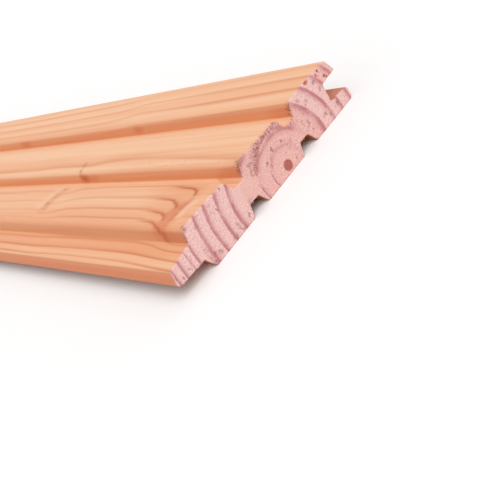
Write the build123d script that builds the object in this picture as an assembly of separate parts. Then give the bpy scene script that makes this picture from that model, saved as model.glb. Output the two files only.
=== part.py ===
from build123d import *
import os

# Stock sizes, in millimetres
board_length = 1800.0
board_thickness = 27.0
rib_count = 3
rib_pitch = 44.5

# Ribs and grooves of the face
rib_face_width = 31.5
rib_face_fall = 0.8
groove_depth = 8.0
rib_lower_run = 2.6
rib_upper_run = 2.7
rib_lower_radius = 4.0
rib_upper_radius = 2.5
groove_corner_radius = 1.0

# Relief grooves of the back
relief_depth = 7.0
relief_floor_width = 6.8
relief_lower_run = 2.5
relief_upper_run = 3.3
back_rib_start = 1.5
back_edge_radius = 2.0
relief_corner_radius = 1.5

# Tongue along the lower edge
tongue_reach = 20.85
tongue_tip_slant = 1.9
tongue_front_taper = 1.6
tongue_back_step = 0.5
tongue_back_taper = 0.7
shoulder_run = 3.2
tongue_front_radius = 1.2
tongue_back_radius = 1.6

# Slot and its two lips along the upper edge
front_lip_extra = 1.0
front_lip_fall = 0.0
slot_front_depth = 11.9
slot_floor_slant = 1.0
slot_front_level = 18.9
slot_front_taper = 0.7
slot_back_level = 7.0
slot_back_taper = 0.9
back_lip_reach = 35.5
front_lip_radius = 0.8
back_lip_inner_radius = 1.2
back_lip_outer_radius = 3.0
slot_corner_radius = 1.0

# Levels above the back and the ribs' start lines across the width
groove_floor = board_thickness - groove_depth
rib_starts = [i * rib_pitch for i in range(rib_count)]
last_rib = rib_starts[-1]
front_lip_tip = last_rib + rib_face_width + front_lip_extra + rib_upper_run
back_lip_tip = last_rib + back_lip_reach

# Tongue: slanted tip, both faces tapering from the root
tongue_root_back = relief_depth + tongue_back_step
tongue_tip_front = (tongue_tip_slant - tongue_reach, groove_floor - tongue_front_taper)
tongue_tip_back = (-tongue_reach, tongue_root_back + tongue_back_taper)
tongue_root = (back_rib_start - shoulder_run, tongue_root_back)

# Slot: tapering towards its floor, between a front lip and a longer back lip
slot_mouth_front = (front_lip_tip, slot_front_level)
slot_floor_front = (front_lip_tip - slot_front_depth, slot_front_level - slot_front_taper)
slot_floor_back = (slot_floor_front[0] - slot_floor_slant, slot_back_level + slot_back_taper)
slot_mouth_back = (back_lip_tip, slot_back_level)
back_lip_corner = (back_lip_tip, 0.0)

# Face: ribs with slanted sides, the last one running out into the front lip
rib_feet = [(y - rib_lower_run, groove_floor) for y in rib_starts]
rib_lower_edges = [(y, board_thickness) for y in rib_starts]
rib_upper_edges = [(y + rib_face_width, board_thickness - rib_face_fall) for y in rib_starts[:-1]]
rib_upper_edges.append((front_lip_tip - rib_upper_run, board_thickness - front_lip_fall))
groove_starts = [(y + rib_face_width + rib_upper_run, groove_floor) for y in rib_starts[:-1]]

# Back: flat bearing strips with relief grooves under the face grooves
back_lower_edges = [(y + back_rib_start, 0.0) for y in rib_starts]
relief_ends = [(y - relief_upper_run, relief_depth) for y, z in back_lower_edges[1:]]
relief_starts = [(y - relief_floor_width, relief_depth) for y, z in relief_ends]
back_upper_edges = [(y - relief_lower_run, 0.0) for y, z in relief_starts]

# Outline of the section, from the tongue over the face and round the back
outline = [tongue_tip_front]
for i in range(rib_count):
    outline += [rib_feet[i], rib_lower_edges[i], rib_upper_edges[i]]
    if i < rib_count - 1:
        outline.append(groove_starts[i])
outline += [slot_mouth_front, slot_floor_front, slot_floor_back, slot_mouth_back, back_lip_corner]
for i in reversed(range(rib_count)):
    outline.append(back_lower_edges[i])
    if i > 0:
        outline += [relief_ends[i - 1], relief_starts[i - 1], back_upper_edges[i - 1]]
outline += [tongue_root, tongue_tip_back]

# Rounding of each kind of corner
roundings = [
    (rib_lower_edges, rib_lower_radius),
    (rib_upper_edges, rib_upper_radius),
    (rib_feet + groove_starts, groove_corner_radius),
    (back_lower_edges + back_upper_edges, back_edge_radius),
    (relief_starts + relief_ends + [tongue_root], relief_corner_radius),
    ([tongue_tip_front], tongue_front_radius),
    ([tongue_tip_back], tongue_back_radius),
    ([slot_mouth_front], front_lip_radius),
    ([slot_floor_front, slot_floor_back], slot_corner_radius),
    ([slot_mouth_back], back_lip_inner_radius),
    ([back_lip_corner], back_lip_outer_radius),
]

# Section with its corners rounded
section = make_face(Polyline(*outline, close=True))
for corners, radius in roundings:
    picked = [
        v for v in section.vertices()
        if any(abs(v.X - y) < 0.01 and abs(v.Y - z) < 0.01 for y, z in corners)
    ]
    section = fillet(picked, radius)

# Centred on the board's width, in the plane across its length
middle = section.bounding_box().center()
section = Plane.YZ * Pos(-middle.X, 0) * section

# One moulded length of board
board = extrude(section, amount=board_length / 2, both=True)
board.label = "board"

os.makedirs("parts", exist_ok=True)
export_step(board, "parts/board.step")
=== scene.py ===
import bmesh
import bpy
import math
import random
from mathutils import Matrix, Vector, kdtree, noise


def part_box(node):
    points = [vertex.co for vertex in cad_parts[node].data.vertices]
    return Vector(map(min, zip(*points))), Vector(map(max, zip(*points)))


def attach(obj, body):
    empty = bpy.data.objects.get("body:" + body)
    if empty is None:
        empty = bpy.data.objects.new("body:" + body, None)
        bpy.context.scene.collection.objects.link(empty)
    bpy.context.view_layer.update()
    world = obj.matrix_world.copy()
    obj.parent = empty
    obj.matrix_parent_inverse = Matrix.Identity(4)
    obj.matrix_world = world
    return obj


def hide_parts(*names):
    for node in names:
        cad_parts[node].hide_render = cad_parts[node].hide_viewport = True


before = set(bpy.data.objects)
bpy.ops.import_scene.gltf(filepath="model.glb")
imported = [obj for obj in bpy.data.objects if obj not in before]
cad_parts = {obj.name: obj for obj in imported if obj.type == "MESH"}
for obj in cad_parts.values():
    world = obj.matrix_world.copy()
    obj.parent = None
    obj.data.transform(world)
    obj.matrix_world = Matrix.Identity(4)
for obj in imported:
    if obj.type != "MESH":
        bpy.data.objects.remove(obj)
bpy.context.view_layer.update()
boardLow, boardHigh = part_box("board")
mm = 0.001
boardLength = (boardHigh.x - boardLow.x) / mm
print("frame loaded, board", [round(v / mm, 1) for v in boardHigh - boardLow], "mm")

# Camera at the photo's viewing angle
cameraSetup = {
    "fromEnd": (0.35826, -0.20061, 0.19349),  # from the foot of the shown end, metres
    "forward": (-0.8064, 0.3791, -0.4540),
    "up": (-0.0433, 0.7277, 0.6845),
    "focalPixels": 901.0,
    "imagePixels": 499.0,
    "sensor": 36.0,
    "clip": (0.01, 50.0),
}


def placeCamera(setup):
    data = bpy.data.cameras.new("photoCamera")
    data.sensor_width = setup["sensor"]
    data.lens = setup["focalPixels"] / setup["imagePixels"] * setup["sensor"]
    data.clip_start, data.clip_end = setup["clip"]
    data.dof.use_dof = False
    camera = bpy.data.objects.new("photoCamera", data)
    bpy.context.scene.collection.objects.link(camera)
    back = -Vector(setup["forward"]).normalized()
    right = Vector(setup["up"]).cross(back).normalized()
    turn = Matrix((right, back.cross(right), back)).transposed()
    spot = Vector(setup["fromEnd"]) + Vector((boardHigh.x, 0.0, 0.0))
    camera.matrix_world = Matrix.Translation(spot) @ turn.to_4x4()
    bpy.context.scene.camera = camera


placeCamera(cameraSetup)
print("camera placed")

# The board's shape
boardShape = {  # the section's sizes in millimetres, as the solid has them
    "thickness": 27.0,
    "ribs": 3,
    "pitch": 44.5,
    "ribFace": 31.5,
    "ribFall": 0.8,
    "grooveDepth": 8.0,
    "ribLowerRun": 2.6,
    "ribUpperRun": 2.7,
    "ribLowerRadius": 4.0,
    "ribUpperRadius": 2.5,
    "grooveRadius": 1.0,
    "reliefDepth": 7.0,
    "reliefFloor": 6.8,
    "reliefLowerRun": 2.5,
    "reliefUpperRun": 3.3,
    "backStart": 1.5,
    "backRadius": 2.0,
    "reliefRadius": 1.5,
    "tongueReach": 20.85,
    "tongueSlant": 1.9,
    "tongueFrontTaper": 1.6,
    "tongueBackStep": 0.5,
    "tongueBackTaper": 0.7,
    "shoulderRun": 3.2,
    "tongueFrontRadius": 1.2,
    "tongueBackRadius": 1.6,
    "frontLipExtra": 1.0,
    "frontLipFall": 0.0,
    "slotDepth": 11.9,
    "slotSlant": 1.0,
    "slotFront": 18.9,
    "slotFrontTaper": 0.7,
    "slotBack": 7.0,
    "slotBackTaper": 0.9,
    "backLipReach": 35.5,
    "frontLipRadius": 0.8,
    "backLipInnerRadius": 1.2,
    "backLipOuterRadius": 3.0,
    "slotRadius": 1.0,
    "roundSegments": 8,
    "cuts": (1.0, 2.2, 4.5, 9.0, 20.0, 45.0),  # cuts across the length near each end
    "bay": 60.0,  # and along the rest of it
    "netCuts": 2,  # how many of the cuts the fine net reaches back to
    "net": (0.42, 0.8),  # cells of the net on the shown end and on the far one
    "netMerge": 0.02,  # the net leaves alone what lies closer than this to a cut
    "sharpAngle": 35.0,
}
touching = 1e-6  # metres, less than this apart counts as the same place


def sectionCorners(s):  # across, up, rounding of every corner, from the tongue's tip round the face
    floor = s["thickness"] - s["grooveDepth"]
    starts = [i * s["pitch"] for i in range(s["ribs"])]
    lipTip = starts[-1] + s["ribFace"] + s["frontLipExtra"] + s["ribUpperRun"]
    backTip = starts[-1] + s["backLipReach"]
    rootBack = s["reliefDepth"] + s["tongueBackStep"]
    tipFront = s["tongueSlant"] - s["tongueReach"]
    corners = [(tipFront, floor - s["tongueFrontTaper"], s["tongueFrontRadius"])]
    for y in starts:
        corners.append((y - s["ribLowerRun"], floor, s["grooveRadius"]))
        corners.append((y, s["thickness"], s["ribLowerRadius"]))
        if y != starts[-1]:
            top = y + s["ribFace"]
            corners.append((top, s["thickness"] - s["ribFall"], s["ribUpperRadius"]))
            corners.append((top + s["ribUpperRun"], floor, s["grooveRadius"]))
    slotFloor = lipTip - s["slotDepth"]
    corners.append((lipTip - s["ribUpperRun"], s["thickness"] - s["frontLipFall"], s["ribUpperRadius"]))
    corners.append((lipTip, s["slotFront"], s["frontLipRadius"]))
    corners.append((slotFloor, s["slotFront"] - s["slotFrontTaper"], s["slotRadius"]))
    corners.append((slotFloor - s["slotSlant"], s["slotBack"] + s["slotBackTaper"], s["slotRadius"]))
    corners.append((backTip, s["slotBack"], s["backLipInnerRadius"]))
    corners.append((backTip, 0.0, s["backLipOuterRadius"]))
    for y in reversed(starts):
        back = y + s["backStart"]
        corners.append((back, 0.0, s["backRadius"]))
        if y != starts[0]:
            end = back - s["reliefUpperRun"]
            start = end - s["reliefFloor"]
            corners.append((end, s["reliefDepth"], s["reliefRadius"]))
            corners.append((start, s["reliefDepth"], s["reliefRadius"]))
            corners.append((start - s["reliefLowerRun"], 0.0, s["backRadius"]))
    corners.append((s["backStart"] - s["shoulderRun"], rootBack, s["reliefRadius"]))
    corners.append((-s["tongueReach"], rootBack + s["tongueBackTaper"], s["tongueBackRadius"]))
    shift = boardHigh.y / mm - backTip
    return [(y + shift, z, radius) for y, z, radius in corners]


def everything(bm):
    return bm.verts[:] + bm.edges[:] + bm.faces[:]


def makeBoard(s):
    bm = bmesh.new()
    corners = sectionCorners(s)
    verts = [bm.verts.new((boardLow.x, y * mm, z * mm)) for y, z, radius in corners]
    bm.faces.new(verts)
    for i, vert in enumerate(verts):  # each corner rounded to its own radius
        here = Vector(corners[i][:2])
        before = Vector(corners[i - 1][:2]) - here
        after = Vector(corners[(i + 1) % len(corners)][:2]) - here
        reach = corners[i][2] / math.tan(before.angle(after) / 2)
        bmesh.ops.bevel(bm, geom=[vert], offset=reach * mm, offset_type="OFFSET", affect="VERTICES",
                        segments=s["roundSegments"], profile=0.5, material=-1, clamp_overlap=False)
    section = [Vector((0.0, v.co.y, v.co.z)) for v in bm.faces[:][0].verts]
    made = bmesh.ops.extrude_face_region(bm, geom=bm.faces[:])
    moved = [g for g in made["geom"] if isinstance(g, bmesh.types.BMVert)]
    bmesh.ops.translate(bm, verts=moved, vec=(boardHigh.x - boardLow.x, 0.0, 0.0))
    bmesh.ops.recalc_face_normals(bm, faces=bm.faces[:])
    depths = list(s["cuts"])
    while depths[-1] + s["bay"] < boardLength / 2:
        depths.append(depths[-1] + s["bay"])
    for depth in depths:
        for x in (boardLow.x + depth * mm, boardHigh.x - depth * mm):
            bmesh.ops.bisect_plane(bm, geom=everything(bm), dist=touching / 10, plane_co=(x, 0.0, 0.0),
                                   plane_no=(1.0, 0.0, 0.0))
    return bm, section


def netEnds(bm, s):  # a fine net of faces on both sawn ends and the strip just behind them
    strip = boardHigh.x - s["cuts"][s["netCuts"] - 1] * mm
    for side, cell in zip((1.0, -1.0), s["net"]):
        faces = [f for f in bm.faces if side * f.calc_center_median().x > strip]
        edges = {e for f in faces for e in f.edges}
        points = {v for f in faces for v in f.verts}
        geom = faces + list(edges) + list(points)
        for axis in (1, 2):
            count = int((boardHigh[axis] - boardLow[axis]) / (cell * mm))
            normal = Vector([float(k == axis) for k in range(3)])
            for i in range(1, count):
                at = boardLow.lerp(boardHigh, i / count)
                cut = bmesh.ops.bisect_plane(bm, geom=geom, dist=s["netMerge"] * mm, plane_co=at,
                                             plane_no=normal)
                geom = cut["geom"]


# The map the colours are baked on
bakeLayout = {
    "near": 345.0,  # the finer part of the walls, from the shown end
    "nearTop": 0.40,  # where that part ends on the map
    "farTop": 0.78,  # and where the rest does
    "step": 0.5,
    "ends": ((0.72, 0.8, 0.28), (0.0, 0.8, 0.7)),  # left, low, wide: the far end, the shown one
}


def layFlat(bm, section, layout):  # the walls unrolled, finer near the shown end, and both ends above them
    flat = bm.loops.layers.uv.new("OFBake")
    sawn = bm.loops.layers.float["sawnEnd"]
    samples = []
    around = 0.0
    for here, after in zip(section, section[1:] + section[:1]):
        run = after - here
        count = math.ceil(run.length / (layout["step"] * mm))
        for i in range(count):
            samples.append((here.lerp(after, i / count), around + run.length * i / count, run.normalized()))
        around += run.length
    finder = kdtree.KDTree(len(samples))
    for i, sample in enumerate(samples):
        finder.insert(sample[0], i)
    finder.balance()
    reached = {}
    for vert in bm.verts:  # how far round the section
        spot = Vector((0.0, vert.co.y, vert.co.z))
        start, length, way = samples[finder.find(spot)[1]]
        reached[vert] = min(max(length + (spot - start).dot(way), 0.0), around)
    for face in bm.faces:
        spots = [reached[v] for v in face.verts]
        wrapped = max(spots) - min(spots) > around / 2
        for loop in face.loops:
            x, y, z = loop.vert.co
            depth = (boardHigh.x - x) / mm
            if loop[sawn] > 0.5:
                left, low, wide = layout["ends"][x > 0]
                scale = wide / (boardHigh.y - boardLow.y)
                loop[flat].uv = (left + (y - boardLow.y) * scale, low + (z - boardLow.z) * scale)
            else:
                spot = reached[loop.vert]
                across = (spot + around if wrapped and spot < around / 2 else spot) / around
                share = max(depth - layout["near"], 0.0) / (boardLength - layout["near"])
                height = min(depth / layout["near"], 1.0) * layout["nearTop"]
                loop[flat].uv = (across, height + share * (layout["farTop"] - layout["nearTop"]))


# The sawn ends, torn by the saw
sawnEnds = {  # millimetres across the board and above its back
    "seed": 11,
    "band": {"centre": (14.8, 4.3), "radius": (19.6, 26.0), "turn": (62, 150), "count": 90,
             "crowd": 1.6},  # spots crowd toward the inner radius
    "patches": (  # across, up, spread, how many
        (42.2, 23.2, 1.2, 5), (45.6, 18.8, 1.4, 4), (56.0, 22.8, 1.4, 6), (57.6, 17.6, 1.2, 7),
        (36.3, 14.0, 1.0, 3), (40.0, 10.8, 1.4, 5), (38.3, 8.8, 0.8, 2), (40.2, 5.5, 1.0, 2),
        (51.6, 5.3, 1.4, 9), (61.4, 5.0, 1.2, 6), (59.5, 8.6, 1.2, 3), (54.6, 3.4, 1.0, 3),
        (-28.0, 4.2, 1.5, 9), (-26.4, 1.4, 1.1, 6), (-33.4, 2.2, 1.6, 8), (-44.6, 3.2, 1.6, 11),
        (-47.2, 5.2, 1.2, 3), (-49.6, 1.6, 1.0, 4), (-19.8, 3.4, 0.9, 5), (-32.3, 19.7, 0.7, 2),
        (5.6, 14.2, 1.0, 4), (12.8, 17.2, 2.0, 5), (19.0, 16.6, 2.0, 4), (21.3, 3.2, 0.8, 3),
        (-23.6, 25.2, 0.9, 3), (-51.8, 25.4, 0.8, 4), (-62.6, 10.4, 1.2, 4), (-68.2, 9.6, 1.0, 4),
        (62.5, 25.5, 0.5, 4), (60.5, 24.0, 0.7, 4), (65.0, 20.6, 0.8, 6), (-14.0, 9.0, 2.0, 3)),
    "patchShare": 0.5,  # most spots of a patch lie within this share of its spread
    "stray": 150,
    "dark": (0.4, 1.0),
    "strayDark": (0.15, 0.45),
    "size": (0.3, 0.64),
    "tall": 2.1,  # a torn spot is this much taller than wide
    "deep": (0.1, 0.34),
    "saw": 0.06,  # mean depth of the saw's marks
    "sawWaves": ((0.05, 0.9, 3.0), (0.03, 2.7, 8.0)),  # height, closeness, shift
    "ragged": 0.65,  # how far the cut edge wanders
    "raggedPower": 2.5,  # and how seldom it goes that far
    "deepest": 0.9,  # share of the first cut
    "edgeTears": (  # across, up, reach: corners where splinters broke away
        (34.2, 24.0, 4.6), (-9.0, 23.0, 4.0), (-53.2, 22.4, 3.0), (-6.4, 26.4, 1.6), (-51.0, 26.4, 1.6)),
    "tearChance": 0.7,
    "tearDark": (0.3, 1.0),
    "tearDepth": 0.2,
    "rise": {"tear": 2.2, "spot": 2.0, "chip": 1.6, "chipTone": 2.5},  # how soon each is at its full
    "chips": (  # across, up, reach, depth of the chips on the upper rib and the lip
        (52.6, 26.6, 2.0, 0.9), (62.5, 25.6, 0.9, 0.3), (60.3, 24.8, 0.8, 0.3), (64.6, 20.8, 1.0, 0.3),
        (65.8, 19.4, 0.8, 0.3)),
    "splinters": 30,
    "splinterReach": (0.5, 1.4),
    "splinterUp": (4.0, 12.0),  # between these heights
    "splinterTip": 0.2,  # share of its foot
    "splinterLean": 0.5,
}


def tearSpots(t, pick, patches):  # across, up, reach, depth, darkness
    share = t["patchShare"]
    marks = [(pick.gauss(y, spread * share), pick.gauss(z, spread * share))
             for y, z, spread, count in patches for i in range(count)]
    band = t["band"]
    for i in range(band["count"]):
        turn = math.radians(pick.uniform(*band["turn"]))
        inner, outer = band["radius"]
        away = inner + (outer - inner) * pick.random() ** band["crowd"]
        marks.append((band["centre"][0] + away * math.cos(turn), band["centre"][1] + away * math.sin(turn)))
    strong = len(marks)
    for i in range(t["stray"]):
        y = pick.uniform(boardLow.y, boardHigh.y) / mm
        marks.append((y, pick.uniform(boardLow.z, boardHigh.z) / mm))
    spots = []
    for i, (y, z) in enumerate(marks):
        dark = pick.uniform(*t["dark" if i < strong else "strayDark"])
        spots.append((y, z, pick.uniform(*t["size"]), pick.uniform(*t["deep"]) * dark, dark))
    return spots


def roughenEnd(bm, t, side, patches):  # side is 1 for the shown end and -1 for the far one
    torn = bm.verts.layers.float["torn"]
    chipped = bm.verts.layers.float["chipped"]
    pick = random.Random(t["seed"] + side)
    spots = tearSpots(t, pick, patches)
    finder = kdtree.KDTree(len(spots))
    for i, spot in enumerate(spots):
        finder.insert((spot[0], spot[1] / t["tall"], 0.0), i)
    finder.balance()
    end = boardHigh.x if side > 0 else -boardLow.x
    onCap = {v for v in bm.verts if abs(side * v.co.x - end) < touching}
    rim = {v for v in onCap if any(abs(f.normal.x) < 0.5 for f in v.link_faces)}
    strip = end - boardShape["cuts"][boardShape["netCuts"] - 1] * mm - touching
    rise = t["rise"]
    for vert in [v for v in bm.verts if side * v.co.x > strip]:
        y, z = vert.co.y / mm, vert.co.z / mm
        dark = 0.0
        if vert in rim or vert not in onCap:  # the edge and the strip behind it
            near = max(1.0 - math.hypot(y - ty, z - tz) / reach for ty, tz, reach in t["edgeTears"])
            if near > 0 and pick.random() < t["tearChance"]:
                dark = min(1.0, near * rise["tear"]) * pick.uniform(*t["tearDark"])
        if vert in onCap:
            sink = t["saw"]
            for height, close, shift in t["sawWaves"]:
                sink += height * noise.noise(Vector((y * close, z * close, shift * side)))
            if vert in rim:
                sink += t["ragged"] * pick.random() ** t["raggedPower"] + dark * t["tearDepth"]
            for spot, i, away in finder.find_range((y, z / t["tall"], 0.0), t["size"][1]):
                reach, deep, tone = spots[i][2:]
                near = 1.0 - away / reach
                if near > 0:
                    sink += deep * near
                    dark = max(dark, min(1.0, near * rise["spot"]) * tone)
            for cy, cz, reach, deep in t["chips"] if side > 0 else ():
                near = 1.0 - math.hypot(y - cy, z - cz) / reach
                if near > 0:
                    sink += deep * min(1.0, near * rise["chip"])
                    vert[chipped] = max(vert[chipped], min(1.0, near * rise["chipTone"]))
            vert.co.x -= side * min(max(sink, 0.0), t["deepest"] * boardShape["cuts"][0]) * mm
        vert[torn] = dark


def addSplinters(bm, t):  # loose fibres left along the lower edges of the shown end
    pick = random.Random(t["seed"])
    strip = boardHigh.x - boardShape["cuts"][0] * mm
    sway = t["splinterLean"]
    low, high = t["splinterUp"]
    under = [f for f in bm.faces if f.calc_center_median().x > strip and f.normal.z < -0.5
             and low * mm < f.calc_center_median().z < high * mm]
    for face in pick.sample(under, t["splinters"]):
        made = bmesh.ops.extrude_discrete_faces(bm, faces=[face])["faces"][0]
        middle = made.calc_center_median()
        lean = Vector((-pick.uniform(0.0, sway), pick.uniform(-sway, sway), -1.0)).normalized()
        tip = (t["splinterTip"],) * 3
        bmesh.ops.scale(bm, vec=tip, verts=made.verts[:], space=Matrix.Translation(-middle))
        bmesh.ops.translate(bm, vec=lean * pick.uniform(*t["splinterReach"]) * mm, verts=made.verts[:])


bm, section = makeBoard(boardShape)
netEnds(bm, boardShape)
bm.normal_update()
sawnMark = bm.loops.layers.float.new("sawnEnd")
for face in bm.faces:
    for loop in face.loops:
        loop[sawnMark] = 1.0 if abs(face.normal.x) > 0.7 else 0.0
for name in ("torn", "chipped"):
    bm.verts.layers.float.new(name)
addSplinters(bm, sawnEnds)
roughenEnd(bm, sawnEnds, 1, sawnEnds["patches"])
roughenEnd(bm, sawnEnds, -1, ())
for vert in bm.verts:  # nothing reaches past the solid's own box
    vert.co.y = min(max(vert.co.y, boardLow.y), boardHigh.y)
bmesh.ops.recalc_face_normals(bm, faces=bm.faces[:])
layFlat(bm, section, bakeLayout)
openEdges = sum(not e.is_manifold for e in bm.edges)
mesh = bpy.data.meshes.new("claddingBoard")
bm.to_mesh(mesh)
bm.free()
mesh.shade_smooth()
mesh.set_sharp_from_angle(angle=math.radians(boardShape["sharpAngle"]))
board = bpy.data.objects.new("claddingBoard", mesh)
bpy.context.scene.collection.objects.link(board)
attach(board, "root")
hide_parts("board")
print("board mesh", len(mesh.vertices), "vertices,", len(mesh.polygons), "faces,", openEdges, "open edges")

# The wood
woodLook = {  # lengths in millimetres, counted back from the shown end; colours as on screen, 0 to 255
    "pith": (14.8, 4.3),  # across the board, above its back
    "pithSize": 2.6,
    "leastRadius": 0.5,
    "ringReach": 100.0,  # the rings are listed out to here
    "rings": (3.2, 11.4, 20.0, 31.8, 40.8, 48.7, 56.4, 63.5, 69.0, 75.3, 81.6, 86.6, 93.0, 99.0),
    "drawIn": 9.5,  # how far the rings draw in behind the end knot, near the pith
    "drawInLoss": 0.068,  # and how much less for each millimetre out from it
    "drawInFar": (54.0, 64.0, 0.0, 1.3),  # from, to (out from the pith): less again by this much
    "drawInAlong": ((0, 1), (110, 1), (126, 0.93), (153, 0.77), (181, 0.56), (211, 0.6), (244, 0.48),
                    (282, 0.42), (330, 0.4), (370, 0.5), (450, 0.36), (530, 0.48), (590, 0.6), (720, 0.4),
                    (810, 0.3), (870, 0.45), (920, 0.52), (1080, 0.3), (1200, 0.42), (1250, 0.55),
                    (1400, 0.34), (1530, 0.3), (1590, 0.48), (1800, 0.35)),
    "drawInTop": ((0, 0), (150, 0), (172, 0.2), (185, 0.44), (213, 0.76), (245, 0.86), (320, 0.96),
                  (370, 0.94), (500, 0.72), (650, 0.9), (830, 0.5), (1010, 0.8), (1260, 0.45),
                  (1500, 0.75), (1800, 0.5)),
    "drawInTopMost": 5.0,  # on the rib beside the slot
    "waver": 1.5,
    "ripple": 1.3,  # of the lines on the sawn ends
    "lateFace": ((0, 0.65), (0.05, 0.25), (0.12, 0), (0.5, 0.03), (0.72, 0.22), (0.84, 0.62), (0.93, 1),
                 (1, 0.95)),  # how dark a ring is from its start to its end, on the faces
    "lateEnd": ((0, 0.8), (0.05, 0.25), (0.1, 0), (0.5, 0.02), (0.68, 0.18), (0.79, 0.52), (0.88, 0.95),
                (1, 1)),  # on the sawn ends
    "ringCrack": ((0, 1), (0.03, 0.3), (0.06, 0), (0.94, 0), (0.97, 0.6), (1, 1)),  # along a ring's edge
    "toneParts": (0.5, 0.24, 0.26),  # broad, strand and fibre in the tone of the faces
    "toneShows": (0.36, 0.64),
    "faceLight": (246, 198, 161),
    "faceDeep": (241, 182, 143),
    "faceLine": (212, 130, 86),
    "hookLine": (184, 84, 46),
    "facePale": (247, 210, 182),
    "warm": (0.94, 0.78, 0.70),  # share of the light left where the wood is warmer
    "side": (0.92, 0.735, 0.62),  # painted shade on the moulded sides, which face away from the light
    "sideFootShade": (0.965, 0.92, 0.78),  # painted shade, deeper again toward their feet
    "foot": (0.95, 0.94, 0.91),  # painted shade on the groove's floor beside them
    "tip": (1.04, 0.68, 0.57),  # painted shade on the tongue's tip, redder than on the sides
    "slot": (0.70, 0.48, 0.48),  # painted shade in the slot
    "reliefShade": (0.72, 0.48, 0.42),  # painted shade in the grooves of the back
    "scorch": (0.95, 0.80, 0.76),  # on the sides close behind the end
    "knotSide": (0.87, 0.67, 0.59),  # beside the end knot
    "endLight": (255, 221, 214),
    "endDeep": (229, 166, 162),
    "endMiddle": (0.965, 0.88, 0.845),  # round the pith
    "endLip": (0.99, 0.91, 0.885),  # on the front lip
    "endLine": (184, 104, 111),
    "endCrack": (140, 78, 80),
    "endNeck": (240, 192, 178),
    "torn": (130, 72, 64),
    "tornSide": (110, 50, 30),
    "specks": (((34.6, 23.4), 7.0), ((-8.4, 24.6), 6.5)),  # torn corners (across, up) and their reach
    "speckCore": 0.25,  # share of that reach where the specks are full
    "chip": (178, 84, 66),
    "hatch": (150, 82, 76),  # ticks torn across the ring round the pith
    "hatchRadius": 22.0,
    "neckAt": (-12.5, 13.5),  # the paler place between the lower ribs, across and up
    "neckReach": (9.5, 5.0),
    "fraySwing": 1.8,  # the end's colour reaches round the edge, more here and less there
    "frayDepth": (1.3, 0.3),
    "pithTone": (178, 96, 86),
    "pithRim": (140, 74, 72),
    "knotTone": (226, 150, 120),
    "knotHeart": (202, 94, 54),
    "knotStreak": (208, 128, 96),
    "roughness": 0.62,
    "gloss": 0.17,
    "bump": 0.35,
    "bumpDepth": 0.25,
}
endKnot = {  # turns of the rings beside the end knot: from, to (outward from the middle), first, last
    "hookAt": (24.0, 40.0, 14.0, 22.5),
    "hookOuter": (44.0, 52.0, 0.0, 4.0),
    "hookReach": (28.0, 50.0, 30.0, 24.0),
    "hookPower": (26.0, 48.0, 0.42, 0.62),
    "heartAt": (34.0, 52.0, 13.3, 16.5),
    "bulge": 2.8,
    "bend": 2.6,  # and beside the second whorl
    "across": (0.371, 0.928),  # the way square to the branch, across and up
    "spread": (1.6, 6.0, 34.0),  # how the turn widens away from the branch: rate, least, most
    "spreadAbove": (9.0, 16.0, 0.0, 75.0),
    "middle": 22.0,
    "ease": (-1.0, 1.2),
}
knots = (  # how far back the branch leaves the pith, where it points (across, up), how slowly it thickens,
    # how softly the rings turn round it, the size of its dark heart and how dark that is
    {"depth": 327, "toward": (-0.78, 0.62), "ratio": 7.0, "soft": 8.0, "heart": (2.4, 0.7)},
    {"depth": 521, "toward": (-0.93, 0.37), "ratio": 9.0, "soft": 8.0, "heart": (3.2, 0.7)},
    {"depth": 534, "toward": (0.30, 0.95), "ratio": 6.0, "soft": 6.0, "heart": (2.6, 0.7)},
    {"depth": 868, "toward": (-0.86, 0.51), "ratio": 8.0, "soft": 8.0, "heart": (3.0, 0.7)},
    {"depth": 881, "toward": (0.84, 0.54), "ratio": 7.0, "soft": 6.0, "heart": (3.4, 0.6)},
    {"depth": 1203, "toward": (-0.20, 0.98), "ratio": 6.0, "soft": 6.0, "heart": (2.6, 0.7)},
    {"depth": 1212, "toward": (-0.94, 0.34), "ratio": 10.0, "soft": 8.0, "heart": (3.4, 0.7)},
    {"depth": 1562, "toward": (-0.90, 0.44), "ratio": 8.0, "soft": 8.0, "heart": (3.2, 0.7)},
    {"depth": 1571, "toward": (0.78, 0.62), "ratio": 7.0, "soft": 6.0, "heart": (3.4, 0.6)},
)
knotLook = {
    "behind": 40.0,  # how quickly a branch ends behind the pith
    "wood": (-6.0, 14.0),  # where its own wood begins, in ring width
    "core": 0.3,  # share of the heart that is fully dark
    "heartFrom": (4.0, 10.0),  # out from the pith
}
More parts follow.
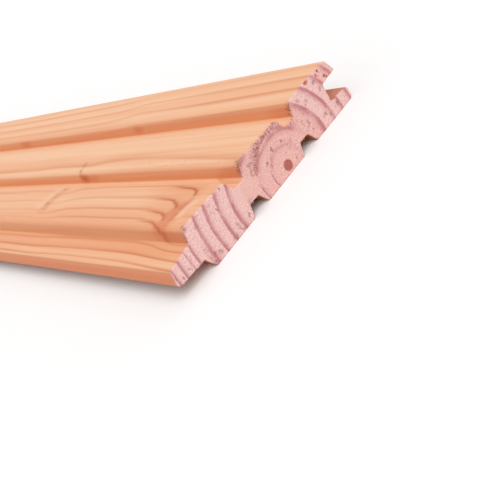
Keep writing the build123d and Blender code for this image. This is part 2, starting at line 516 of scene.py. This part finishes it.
strokes = (  # marks the branches draw on the face: points as depth and outward, half width, tone
    {"points": ((184, 20), (186, 28), (190, 37)), "width": 6.0, "tone": 0.3, "colour": "facePale"},
    {"points": ((9.5, 34.5), (12.6, 38), (12.5, 43)), "width": 3.2, "tone": 0.45, "colour": "facePale"},
    {"points": ((170.5, 18), (174.5, 24), (177.3, 28.5), (179.7, 32), (180.6, 36), (179.6, 40)),
     "width": 5.6, "tone": 0.56, "colour": "knotStreak"},
    {"points": ((178.0, 0.2), (175.4, 2.2), (175.4, 4.1), (175.8, 7.2)), "width": 2.5, "tone": 0.7,
     "colour": "knotStreak"},
    {"points": ((14.6, 31.5), (16.2, 37.4), (16.6, 41.2), (17.4, 43.6), (16.8, 49.5)), "width": 2.0,
     "tone": 0.7, "colour": "knotStreak"},
    {"points": ((19.5, 37.5), (22.4, 40.2), (26.8, 43.2)), "width": 2.4, "tone": 0.55,
     "colour": "knotStreak"},
    {"points": ((52, 22), (21.5, 24.2), (16.9, 26), (15.3, 28.8)), "width": 1.5, "tone": 0.7,
     "colour": "hookLine"},
    {"points": ((62, 31.1), (31, 32.7), (24.9, 35.3), (22.2, 37.5)), "width": 1.45, "tone": 0.65,
     "colour": "hookLine"},
    {"points": ((60, 39.5), (31, 42.2), (26.2, 44.3), (24.2, 46.5)), "width": 1.4, "tone": 0.58,
     "colour": "hookLine"},
    {"points": ((56, 46.4), (30, 49.5), (23, 52.2)), "width": 1.35, "tone": 0.55, "colour": "hookLine"},
)
strokeLook = {"depthShare": 0.65, "jitter": 2.0}  # depth counts at this share, and lines waver by this much
stains = (  # reddish spots on the moulded sides: middle, reach, tone
    {"at": (-171.5, -9.0, 22.5), "reach": (10.5, 3.4, 5.0), "tone": 0.85},
    {"at": (-159.0, -9.0, 22.5), "reach": (13.0, 3.0, 4.6), "tone": 0.3},
    {"at": (-158.0, 35.5, 22.5), "reach": (11.0, 3.0, 5.0), "tone": 0.35},
    {"at": (-345.0, 35.5, 22.5), "reach": (18.0, 3.0, 5.0), "tone": 0.35},
)
clouds = {  # soft noise: size of its cells, detail, roughness, shift, and how much of its range shows
    "jitter": {"size": (9, 5, 5), "detail": 2, "rough": 0.5, "shift": (0, 0, 0)},
    "waver": {"size": (190, 26, 26), "detail": 2, "rough": 0.5, "shift": (0, 0, 0)},
    "broad": {"size": (420, 7, 7), "detail": 2, "rough": 0.5, "shift": (31, 7, 3)},
    "fibre": {"size": (60, 0.9, 0.9), "detail": 3, "rough": 0.6, "shift": (5, 50, 9)},
    "strand": {"size": (150, 2.2, 2.2), "detail": 2, "rough": 0.5, "shift": (17, 21, 2)},
    "patchy": {"size": (160, 12, 12), "detail": 1, "rough": 0.5, "shift": (70, 3, 1),
               "shows": (0.25, 0.6, 0.65, 1.1)},
    "broken": {"size": (8, 2.6, 2.6), "detail": 3, "rough": 0.6, "shift": (8, 6, 1),
               "shows": (0.4, 0.6, 0.35, 1)},
    "ticks": {"size": (1.4, 3, 3), "detail": 2, "rough": 0.6, "shift": (6, 2, 9), "shows": (0.55, 0.68)},
    "dots": {"size": (1.2, 0.55, 0.55), "detail": 1, "rough": 0.5, "shift": (4, 4, 4),
             "shows": (0.47, 0.58)},
    "specks": {"size": (1.3, 0.8, 0.8), "detail": 2, "rough": 0.6, "shift": (3, 8, 2), "shows": (0.5, 0.6)},
    "mottle": {"size": (3, 0.6, 1.2), "detail": 3, "rough": 0.8, "shift": (9, 2, 4)},
    "drift": {"size": (40, 9, 9), "detail": 2, "rough": 0.5, "shift": (2, 13, 5),
              "shows": (0.3, 0.62, 0.48, 0.84)},
    "ripple": {"size": (2, 0.8, 0.8), "detail": 2, "rough": 0.5, "shift": (1, 4, 7)},
    "hatch": {"size": (0.75, 2.2, 1), "detail": 1, "rough": 0.5, "shift": (0, 0, 0), "shows": (0.5, 0.6)},
}
zones = {  # where each look keeps to: a measure, where it begins, where it is full, and the values at
    # those two places when they are not 0 and 1; several are multiplied
    "lowRib": (("outward", 14, 20), ("outward", 59, 55)),
    "topRib": (("across", 30, 36),),
    "topRibRings": (("across", 30, 38),),
    "front": (("up", 16.8, 18),),
    "steep": (("sideways", 0.70, 0.98),),
    "nearEnd": (("depth", 15, 7), ("outward", 52, 48)),
    "bulge": (("outward", 26, 42), ("outward", 62, 57), ("depth", 33, 12)),
    "bend": (("depth", 140, 180), ("depth", 188, 180), ("outward", 19, 26), ("outward", 51, 44)),
    "warmEnd": (("depth", 80, 18), ("outward", 8, 26), ("outward", 66, 50), ("depth", 6, 15, 0.45, 1)),
    "warmTongue": (("outward", 33, 46, 0, 0.7), ("outward", 72, 60, 0.25, 1)),
    "besideKnot": (("past", 6, -1), ("fromHeart", -1, 2.5), ("outward", 30, 37), ("outward", 56, 51)),
    "besideEnd": (("depth", 34, 24), ("outward", 50, 52), ("outward", 58, 56)),
    "pastWhorl": (("depth", 140, 170), ("depth", 330, 240)),
    "ended": (("past", 1, -2.5),),  # between the turned rings and the end
    "lines": (("across", 45, 5, 0.42, 0.5),),
    "linesLowRib": (("outward", 14, 22, 0, 0.1),),
    "linesTopRib": (("depth", 140, 70, 0.85, 1.4), ("across", 61, 64, 1, 0.45)),
    "linesTongue": (("outward", 57, 60, 1, 1.4),),
    # painted shade: on the moulded sides, deeper toward their feet, on the groove floors beside them and on
    # the tongue's tip
    "side": (("outward", 71.5, 70), ("outward", 44, 50, 1, 0.85)),
    "sideShadeHeight": (("up", 25.8, 21.5, 0.62, 1),),
    "sideFootShade": (("up", 23.5, 19.5), ("depth", 40, 210, 0.5, 1)),
    "foot": (("fromFoot", 4.5, 0), ("up", 20, 19.4)),
    "tip": (("outward", 70, 71.5),),
    "scorch": (("depth", 26, 6), ("outward", 60, 57)),
    # painted shade in the slot and in the grooves of the back
    "slot": (("across", 58, 60), ("up", 5.5, 7.5), ("up", 19.5, 18.5)),
    "reliefShade": (("across", 62, 58), ("up", 0.3, 2.5), ("up", 8.6, 7.2)),
    "ticks": (("outward", 0, 2), ("outward", 7.5, 5.5), ("depth", 135, 90)),
    "upperArc": (("pithUp", 0.4, 0.68),),
    "leftArc": (("pithAcross", -0.92, -0.97),),
    "outerRings": (("radius", 22, 29, 0.25, 1),),
    "innerRings": (("radius", 13, 17, 0.45, 0.85),),
    "endTone": (("mottle", 0.32, 0.68),),
    "endMiddle": (("radius", 35, 26),),
    "hatch": (("radius", 19.4, 20.2), ("radius", 26.5, 20.5)),
    "hatchOuter": (("radius", 19, 20.2), ("radius", 25.2, 24)),
    "hatchInner": (("radius", 9.4, 10.8), ("radius", 14.8, 13.4)),
    "crack": (("up", 10, 7), ("radius", 24, 22), ("radius", 7, 9)),
    "pith": (("pithEdge", 0.5, -0.2), ("mottle", 0.3, 0.6, 0.75, 1)),
    "pithRim": (("offPithEdge", 0.5, 0),),
    "endLip": (("across", 56, 60), ("up", 17, 19.5)),
}
shares = {  # how strongly a look is laid on, or takes away from another
    "warmOnSide": 0.45, "knotSide": 0.8, "knotWood": 0.55, "ticks": 0.3, "tornSide": 0.95, "specks": 0.75,
    "linesBesideEnd": 0.6, "linesOnSide": 0.85, "linesPastWhorl": 0.5, "linesEnded": 0.6, "sideLine": 0.35,
    "ringsInNeck": 0.9, "neck": 0.5, "hatch": 0.28, "hatchOuter": 0.55, "hatchInner": 0.26, "crack": 0.75,
    "pithRim": 0.5, "torn": 0.64, "frayed": 0.8, "chip": 0.85,
}

wood = bpy.data.materials.new("softwood")
wood.use_nodes = True
tree = wood.node_tree
surface = tree.nodes["Principled BSDF"]


def tint(rgb):  # screen colour to the renderer's linear colour
    return tuple(((c / 255 + 0.055) / 1.055) ** 2.4 for c in rgb) + (1.0,)


def feed(socket, value):
    if isinstance(value, bpy.types.NodeSocket):
        tree.links.new(value, socket)
    else:
        socket.default_value = value


def calc(operation, *values, clamp=False):
    node = tree.nodes.new("ShaderNodeMath")
    node.operation = operation
    node.use_clamp = clamp
    for socket, value in zip(node.inputs, values):
        feed(socket, value)
    return node.outputs[0]


def product(*values):
    result = values[0]
    for value in values[1:]:
        result = calc("MULTIPLY", result, value)
    return result


def less(value, by):  # what is left of 1 after taking away that share of the value
    return calc("SUBTRACT", 1.0, product(value, by))


def vector(operation, *values, scale=None):
    node = tree.nodes.new("ShaderNodeVectorMath")
    node.operation = operation
    for socket, value in zip(node.inputs, values):
        feed(socket, value)
    if scale is not None:
        feed(node.inputs["Scale"], scale)
    single = operation in ("DOT_PRODUCT", "LENGTH", "DISTANCE")
    return node.outputs["Value" if single else "Vector"]


def ramp(value, low, high, first=0.0, last=1.0):
    node = tree.nodes.new("ShaderNodeMapRange")
    node.interpolation_type = "SMOOTHSTEP"
    for socket, item in zip(node.inputs, (value, low, high, first, last)):
        feed(socket, item)
    return node.outputs["Result"]


def within(name):  # how much of the named zone's look a place takes
    return product(*[ramp(measures[measure], *span) for measure, *span in zones[name]])


def swing(value, by):  # noise turned to both sides of nothing
    return product(calc("SUBTRACT", value, 0.5), by)


def blend(factor, first, second, how="MIX"):
    node = tree.nodes.new("ShaderNodeMix")
    node.data_type = "RGBA"
    node.blend_type = how
    feed(node.inputs[0], factor)
    feed(node.inputs[6], first)
    feed(node.inputs[7], second)
    return node.outputs[2]


def paint(factor, colour, name):  # lay a colour of the wood over another
    return blend(factor, colour, tint(woodLook[name]))


def shade(factor, colour, name):  # keep only the named share of the light
    return blend(factor, colour, woodLook[name] + (1.0,), "MULTIPLY")


def cloud(name, at=None):
    look = clouds[name]
    moved = vector("ADD", at or place, look["shift"])
    scaled = vector("MULTIPLY", moved, tuple(1.0 / v for v in look["size"]))
    node = tree.nodes.new("ShaderNodeTexNoise")
    feed(node.inputs["Vector"], scaled)
    node.inputs["Scale"].default_value = 1.0
    node.inputs["Detail"].default_value = look["detail"]
    node.inputs["Roughness"].default_value = look["rough"]
    return ramp(node.outputs[0], *look["shows"]) if "shows" in look else node.outputs[0]


def curve(value, points, handles="VECTOR"):  # through the given points, straight unless told otherwise
    node = tree.nodes.new("ShaderNodeFloatCurve")
    line = node.mapping.curves[0]
    while len(line.points) < len(points):
        line.points.new(0.5, 0.5)
    for spot, at in zip(line.points, points):
        spot.location = at
        spot.handle_type = handles
    node.mapping.update()
    feed(node.inputs["Value"], value)
    return node.outputs[0]


def markOf(name):
    node = tree.nodes.new("ShaderNodeAttribute")
    node.attribute_name = name
    return node.outputs["Fac"]


def ringPart(value):  # how far through its ring, 0 to 1
    rings = woodLook["rings"]
    most = woodLook["ringReach"]
    steps = [(0.0, 0.0)] + [(r / most, (i + 1) / len(rings)) for i, r in enumerate(rings)]
    return calc("FRACT", product(curve(calc("DIVIDE", value, most), steps), float(len(rings))))


def awayFrom(points):  # distance from a line of points on the face
    nearest = boardLength
    share = strokeLook["depthShare"]
    spots = [Vector((back * share, out, 0.0)) for back, out in points]
    for start, stop in zip(spots, spots[1:]):
        run = stop - start
        fromStart = vector("SUBTRACT", onFace, tuple(start))
        part = vector("DOT_PRODUCT", fromStart, tuple(run / run.length_squared))
        onRun = vector("SCALE", tuple(run), scale=calc("ADD", part, 0.0, clamp=True))
        nearest = calc("MINIMUM", nearest, vector("DISTANCE", fromStart, onRun))
    return nearest


coords = tree.nodes.new("ShaderNodeTexCoord")
inMillimetres = vector("SCALE", coords.outputs["Object"], scale=1.0 / mm)
place = vector("SUBTRACT", inMillimetres, (boardHigh.x / mm, 0.0, 0.0))
split = tree.nodes.new("ShaderNodeSeparateXYZ")
feed(split.inputs[0], place)
alongX, acrossY, upZ = split.outputs
depth = calc("MULTIPLY", alongX, -1.0)  # how far in from the shown end
outward = calc("MULTIPLY", acrossY, -1.0)  # from the middle of the board toward the tongue

facePlace = tree.nodes.new("ShaderNodeCombineXYZ")
feed(facePlace.inputs[0], product(depth, strokeLook["depthShare"]))
feed(facePlace.inputs[1], calc("ADD", outward, swing(cloud("jitter"), strokeLook["jitter"])))
onFace = facePlace.outputs[0]

# distance from the pith; behind the end knot the rings draw in toward it
dy = calc("SUBTRACT", acrossY, woodLook["pith"][0])
dz = calc("SUBTRACT", upZ, woodLook["pith"][1])
fromPith = calc("SQRT", calc("ADD", product(dy, dy), product(dz, dz)))
radius = calc("MAXIMUM", fromPith, woodLook["leastRadius"])
pithAcross = calc("DIVIDE", dy, radius)
offAxis = calc("ADD", product(dz, endKnot["across"][1]), product(dy, endKnot["across"][0]))
rate, least, widest = endKnot["spread"]
spread = calc("MINIMUM", calc("ADD", product(calc("ABSOLUTE", offAxis), rate), least), widest)
spread = calc("ADD", spread, ramp(offAxis, *endKnot["spreadAbove"]))
easy = ramp(calc("DIVIDE", calc("SUBTRACT", depth, endKnot["middle"]), spread), *endKnot["ease"])
hookAt = calc("ADD", ramp(outward, *endKnot["hookAt"]), ramp(outward, *endKnot["hookOuter"]))
past = calc("SUBTRACT", depth, hookAt)
hook = calc("POWER", calc("DIVIDE", past, ramp(outward, *endKnot["hookReach"]), clamp=True),
            ramp(outward, *endKnot["hookPower"]))
normalSplit = tree.nodes.new("ShaderNodeSeparateXYZ")
feed(normalSplit.inputs[0], coords.outputs["Normal"])
lastFoot = boardHigh.y / mm - boardShape["backLipReach"] - boardShape["ribLowerRun"]
mottle = cloud("mottle")
pithEdge = calc("SUBTRACT", calc("ADD", radius, swing(mottle, 1.0)), woodLook["pithSize"])
measures = {  # what the zones are counted by
    "depth": depth,
    "outward": outward,
    "across": acrossY,
    "up": upZ,
    "radius": radius,
    "pithAcross": pithAcross,  # the way out from the pith, as shares
    "pithUp": calc("DIVIDE", dz, radius),
    "past": past,  # behind the place where the rings turn
    "fromHeart": calc("SUBTRACT", depth, ramp(outward, *endKnot["heartAt"])),
    "fromFoot": calc("WRAP", calc("SUBTRACT", lastFoot, acrossY), boardShape["pitch"], 0.0),
    "sideways": calc("ABSOLUTE", normalSplit.outputs[1]),  # how far a face looks to the side
    "mottle": mottle,
    "pithEdge": pithEdge,
    "offPithEdge": calc("ABSOLUTE", pithEdge),
}
onLowRib = within("lowRib")
entered = calc("ADD", easy, product(calc("SUBTRACT", hook, easy), onLowRib))
lengthPart = calc("DIVIDE", depth, boardLength)
along = curve(lengthPart, [(x / boardLength, y) for x, y in woodLook["drawInAlong"]], "AUTO_CLAMPED")
tongueWay = calc("SUBTRACT", 0.5, product(pithAcross, 0.5))
most = calc("SUBTRACT", woodLook["drawIn"], product(radius, woodLook["drawInLoss"]))
most = calc("SUBTRACT", most, ramp(radius, *woodLook["drawInFar"]))
drawn = product(along, entered, most, tongueWay)
topAlong = curve(lengthPart, [(x / boardLength, y) for x, y in woodLook["drawInTop"]], "AUTO_CLAMPED")
drawn = calc("ADD", drawn, product(topAlong, within("topRibRings"), woodLook["drawInTopMost"]))
waver = swing(cloud("waver"), woodLook["waver"])
bulge = product(within("bulge"), less(within("nearEnd"), 1.0), endKnot["bulge"])
bend = product(within("bend"), endKnot["bend"])
stem = calc("SUBTRACT", calc("ADD", calc("ADD", radius, drawn), waver), calc("ADD", bulge, bend))

# each branch turns the rings round itself
age = stem
knotWood = 0.0
knotHeart = 0.0
for knot in knots:
    toward = Vector((0.0,) + knot["toward"]).normalized()
    fromRoot = vector("SUBTRACT", place, (-knot["depth"],) + woodLook["pith"])
    onLine = vector("DOT_PRODUCT", fromRoot, tuple(toward))
    off = vector("SUBTRACT", fromRoot, vector("SCALE", tuple(toward), scale=onLine))
    distance = vector("LENGTH", off)
    behind = product(calc("MAXIMUM", product(onLine, -1.0), 0.0), knotLook["behind"])
    branch = calc("ADD", product(distance, knot["ratio"]), behind)
    knotWood = calc("MAXIMUM", knotWood, ramp(calc("SUBTRACT", stem, branch), *knotLook["wood"]))
    size, dark = knot["heart"]
    heart = ramp(distance, size, size * knotLook["core"], 0.0, dark)
    knotHeart = calc("MAXIMUM", knotHeart, product(heart, ramp(onLine, *knotLook["heartFrom"])))
    age = calc("SMOOTH_MIN", age, branch, knot["soft"])

# the rings, dark late wood with a sharp outer edge
late = curve(ringPart(age), woodLook["lateFace"])

sawn = markOf("sawnEnd")
torn = markOf("torn")
chipped = markOf("chipped")
steep = within("steep")
onFront = within("front")

# moulded faces
fibre = cloud("fibre")
broadPart, strandPart, fibrePart = woodLook["toneParts"]
tone = calc("ADD", product(cloud("broad"), broadPart), product(cloud("strand"), strandPart))
tone = ramp(calc("ADD", tone, product(fibre, fibrePart)), *woodLook["toneShows"])
face = blend(tone, tint(woodLook["faceLight"]), tint(woodLook["faceDeep"]))
warmTongue = product(within("warmTongue"), less(steep, shares["warmOnSide"]))
face = shade(calc("MAXIMUM", within("warmEnd"), warmTongue), face, "warm")
face = shade(product(within("besideKnot"), onFront, shares["knotSide"]), face, "knotSide")
face = paint(product(knotWood, shares["knotWood"]), face, "knotTone")
face = paint(knotHeart, face, "knotHeart")
besideEnd = within("besideEnd")
pastWhorl = product(within("pastWhorl"), onLowRib)
ended = product(within("ended"), onLowRib, less(besideEnd, 1.0))
topExtra = product(calc("SUBTRACT", within("linesTopRib"), 1.0), within("topRib"))
plainSide = product(steep, less(besideEnd, shares["linesBesideEnd"]))
lineStrength = product(
    calc("ADD", within("lines"), within("linesLowRib")), calc("ADD", topExtra, 1.0), within("linesTongue"),
    less(plainSide, shares["linesOnSide"]), less(pastWhorl, shares["linesPastWhorl"]),
    less(ended, shares["linesEnded"]), cloud("patchy"))
face = paint(product(late, lineStrength), face, "faceLine")
face = paint(product(besideEnd, steep, late, late, shares["sideLine"]), face, "hookLine")
broken = cloud("broken")
for stroke in strokes:
    share = onFront
    if stroke["colour"] == "knotStreak":
        share = product(share, broken)
    if stroke["colour"] == "hookLine":  # grows out of the ring's own line
        share = product(share, ramp(depth, stroke["points"][0][0], stroke["points"][1][0]))
    shown = ramp(awayFrom(stroke["points"]), stroke["width"], 0.0, 0.0, stroke["tone"])
    face = paint(product(shown, share), face, stroke["colour"])
# painted shade on the moulded sides, deeper toward their feet, on the groove floors beside them and on the
# tongue's tip
sideShadeMask = product(steep, within("side"))
face = shade(product(sideShadeMask, within("sideShadeHeight")), face, "side")
face = shade(product(sideShadeMask, within("sideFootShade")), face, "sideFootShade")
face = shade(product(within("foot"), onFront), face, "foot")
face = shade(product(steep, within("tip")), face, "tip")
face = shade(product(steep, within("scorch")), face, "scorch")
for stain in stains:
    away = vector("DIVIDE", vector("SUBTRACT", place, stain["at"]), stain["reach"])
    face = paint(ramp(vector("LENGTH", away), 1.0, 0.0, 0.0, stain["tone"]), face, "knotHeart")
# painted shade in the slot and in the grooves of the back
face = shade(within("slot"), face, "slot")
face = shade(within("reliefShade"), face, "reliefShade")
ticks = product(cloud("ticks"), within("ticks"), onFront, shares["ticks"])
face = paint(ticks, face, "knotStreak")
dots = cloud("dots")
face = paint(product(torn, dots, shares["tornSide"]), face, "tornSide")
specks = cloud("specks")
for corner, reach in woodLook["specks"]:
    near = ramp(vector("DISTANCE", place, (0.0,) + corner), reach, reach * woodLook["speckCore"])
    face = paint(product(specks, near, shares["specks"]), face, "tornSide")

# sawn ends
endRing = ringPart(calc("ADD", age, swing(cloud("ripple"), woodLook["ripple"])))
lateEnd = curve(endRing, woodLook["lateEnd"])
upperArc = within("upperArc")
inSection = vector("MULTIPLY", place, (0.0, 1.0, 1.0))
neck = ramp(vector("DISTANCE", inSection, (0.0,) + woodLook["neckAt"]), *woodLook["neckReach"])
ringShare = calc("MAXIMUM", within("outerRings"), product(upperArc, within("innerRings")))
ringStrength = product(cloud("drift"), ringShare, less(neck, shares["ringsInNeck"]))
end = blend(within("endTone"), tint(woodLook["endLight"]), tint(woodLook["endDeep"]))
end = shade(within("endMiddle"), end, "endMiddle")
end = paint(product(neck, shares["neck"]), end, "endNeck")
end = paint(product(lateEnd, ringStrength), end, "endLine")
end = paint(product(upperArc, within("hatch"), shares["hatch"]), end, "endLine")
turn = product(calc("ARCTAN2", dz, dy), woodLook["hatchRadius"])  # as a length along the ring
hatchPlace = tree.nodes.new("ShaderNodeCombineXYZ")
for socket, value in zip(hatchPlace.inputs, (turn, radius, 0.0)):
    feed(socket, value)
hatchTicks = cloud("hatch", hatchPlace.outputs[0])
hatchShare = calc("ADD", product(within("hatchOuter"), shares["hatchOuter"]),
                  product(within("hatchInner"), shares["hatchInner"]))
end = paint(product(hatchTicks, upperArc, hatchShare), end, "hatch")
crack = product(curve(endRing, woodLook["ringCrack"]), within("leftArc"), within("crack"), shares["crack"])
end = paint(crack, end, "endCrack")
end = paint(within("pith"), end, "pithTone")
end = paint(product(within("pithRim"), shares["pithRim"]), end, "pithRim")
end = shade(within("endLip"), end, "endLip")
end = paint(product(torn, shares["torn"]), end, "torn")

frayed = ramp(calc("ADD", depth, swing(dots, woodLook["fraySwing"])), *woodLook["frayDepth"])
endShare = calc("MAXIMUM", sawn, product(frayed, shares["frayed"]))
colour = paint(product(chipped, shares["chip"]), blend(endShare, face, end), "chip")
feed(surface.inputs["Base Color"], colour)
surface.inputs["Roughness"].default_value = woodLook["roughness"]
surface.inputs["Specular IOR Level"].default_value = woodLook["gloss"]
grain = tree.nodes.new("ShaderNodeBump")
grain.inputs["Strength"].default_value = woodLook["bump"]
grain.inputs["Distance"].default_value = woodLook["bumpDepth"] * mm
feed(grain.inputs["Height"], calc("ADD", product(fibre, less(sawn, 1.0)), product(mottle, sawn)))
feed(surface.inputs["Normal"], grain.outputs["Normal"])
mesh.materials.append(wood)
print("wood made,", len(tree.nodes), "nodes")


def toCamera():  # 1 for what the camera sees, straight on or by way of a gloss or glass
    path = tree.nodes.new("ShaderNodeLightPath")
    seen = calc("MAXIMUM", path.outputs["Is Camera Ray"], path.outputs["Is Glossy Ray"])
    return calc("MAXIMUM", seen, path.outputs["Is Transmission Ray"])


# Floor, white to the camera and greyer to what it lights
floorLook = {"halfSize": 6.0, "drop": 0.1 * mm, "seen": 1.0, "lights": 0.55, "roughness": 0.9, "gloss": 0.1}
floorMesh = bpy.data.meshes.new("floor")
floorShape = bmesh.new()
bmesh.ops.create_grid(floorShape, x_segments=1, y_segments=1, size=floorLook["halfSize"])
floorShape.to_mesh(floorMesh)
floorShape.free()
floor = bpy.data.objects.new("floor", floorMesh)
floor.location.z = -floorLook["drop"]
bpy.context.scene.collection.objects.link(floor)
paper = bpy.data.materials.new("floorPaper")
paper.use_nodes = True
tree = paper.node_tree
surface = tree.nodes["Principled BSDF"]
surface.inputs["Roughness"].default_value = floorLook["roughness"]
surface.inputs["Specular IOR Level"].default_value = floorLook["gloss"]
greys = [(floorLook[name],) * 3 + (1.0,) for name in ("lights", "seen")]
feed(surface.inputs["Base Color"], blend(toCamera(), greys[0], greys[1]))
floorMesh.materials.append(paper)

# Plain soft studio light
studio = {"sky": 0.58, "sun": 1.85, "softness": 50.0, "from": (0.68, -0.08, 0.73)}
world = bpy.data.worlds.new("studio")
bpy.context.scene.world = world
world.use_nodes = True
tree = world.node_tree
sky = tree.nodes["Background"]
sky.inputs["Color"].default_value = (1.0, 1.0, 1.0, 1.0)
feed(sky.inputs["Strength"], calc("ADD", studio["sky"], product(toCamera(), 1.0 - studio["sky"])))
keyData = bpy.data.lights.new("key", "SUN")
keyData.energy = studio["sun"]
keyData.angle = math.radians(studio["softness"])
key = bpy.data.objects.new("key", keyData)
bpy.context.scene.collection.objects.link(key)
key.rotation_mode = "QUATERNION"
key.rotation_quaternion = (-Vector(studio["from"])).to_track_quat("-Z", "Y")
bpy.context.scene.view_settings.view_transform = "Standard"
print("floor and light set")
